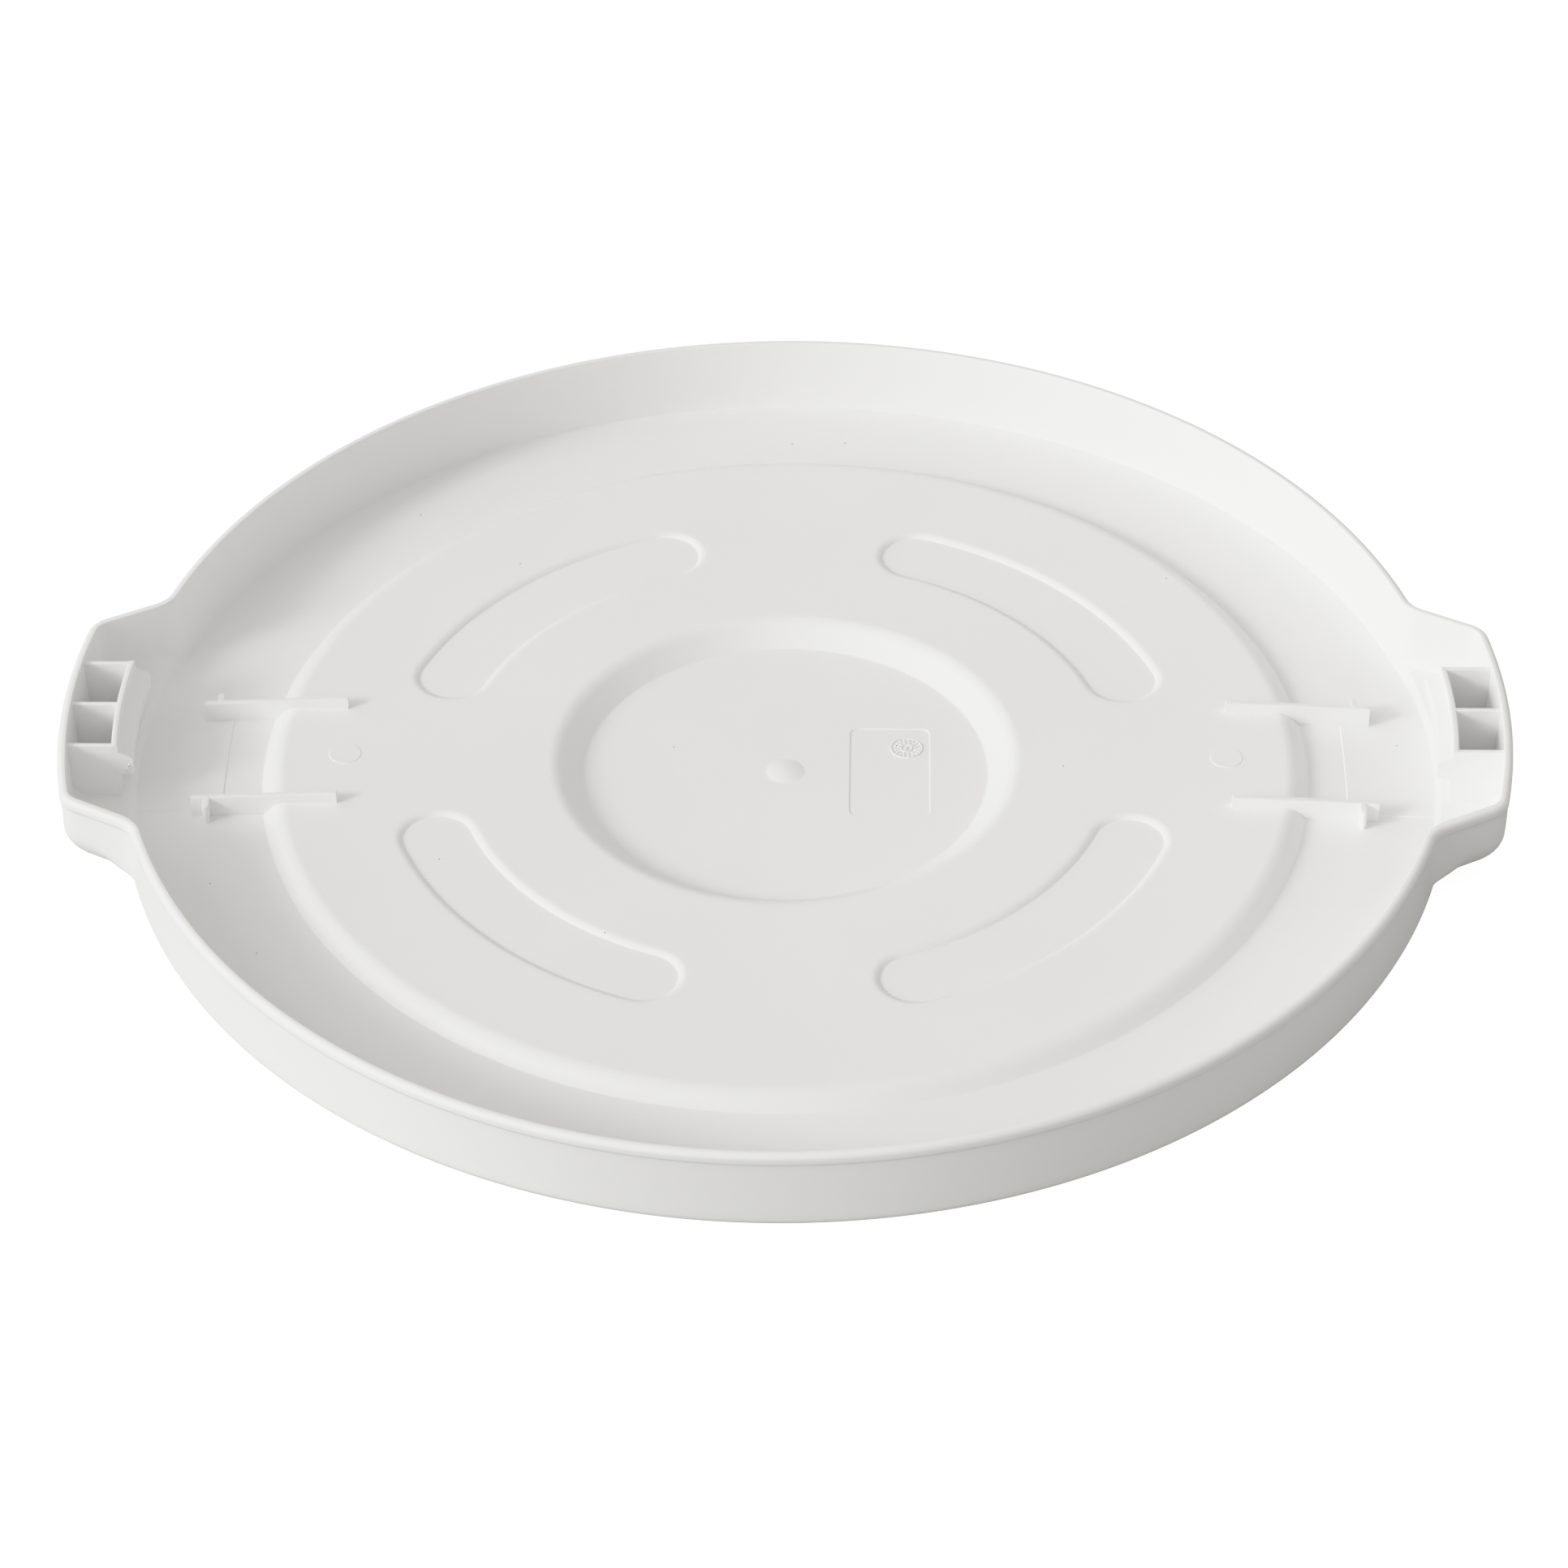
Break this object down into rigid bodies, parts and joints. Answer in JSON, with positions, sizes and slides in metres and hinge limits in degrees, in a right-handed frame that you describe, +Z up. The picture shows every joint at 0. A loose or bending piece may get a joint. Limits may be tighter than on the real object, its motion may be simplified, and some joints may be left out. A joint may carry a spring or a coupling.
{
  "type": "round container lid",
  "caption": "Round moulded container lid lying open side up, with a skirt wall, handle lugs at the sides, a stepped deck with arc recesses and a round centre well.",
  "frame": {"origin": "centre of the flat ring that the lid rests on when it lies open side up", "axes": "+Z up towards the open side, +X through the handle lug on the right, +Y towards the back"},
  "size_m": [0.6134, 0.5624, 0.0375],
  "materials": {
    "white_plastic": "satin moulded white plastic"
  },
  "bodies": {
    "root": {"deck_panel": "white_plastic", "skirt_front": "white_plastic", "skirt_back": "white_plastic", "handle_lug_right": "white_plastic", "lug_ribs_right": "white_plastic", "guide_rail_right_back": "white_plastic", "guide_rail_right_front": "white_plastic", "handle_lug_left": "white_plastic", "lug_ribs_left": "white_plastic", "guide_rail_left_back": "white_plastic", "guide_rail_left_front": "white_plastic"}
  },
  "joints": []
}
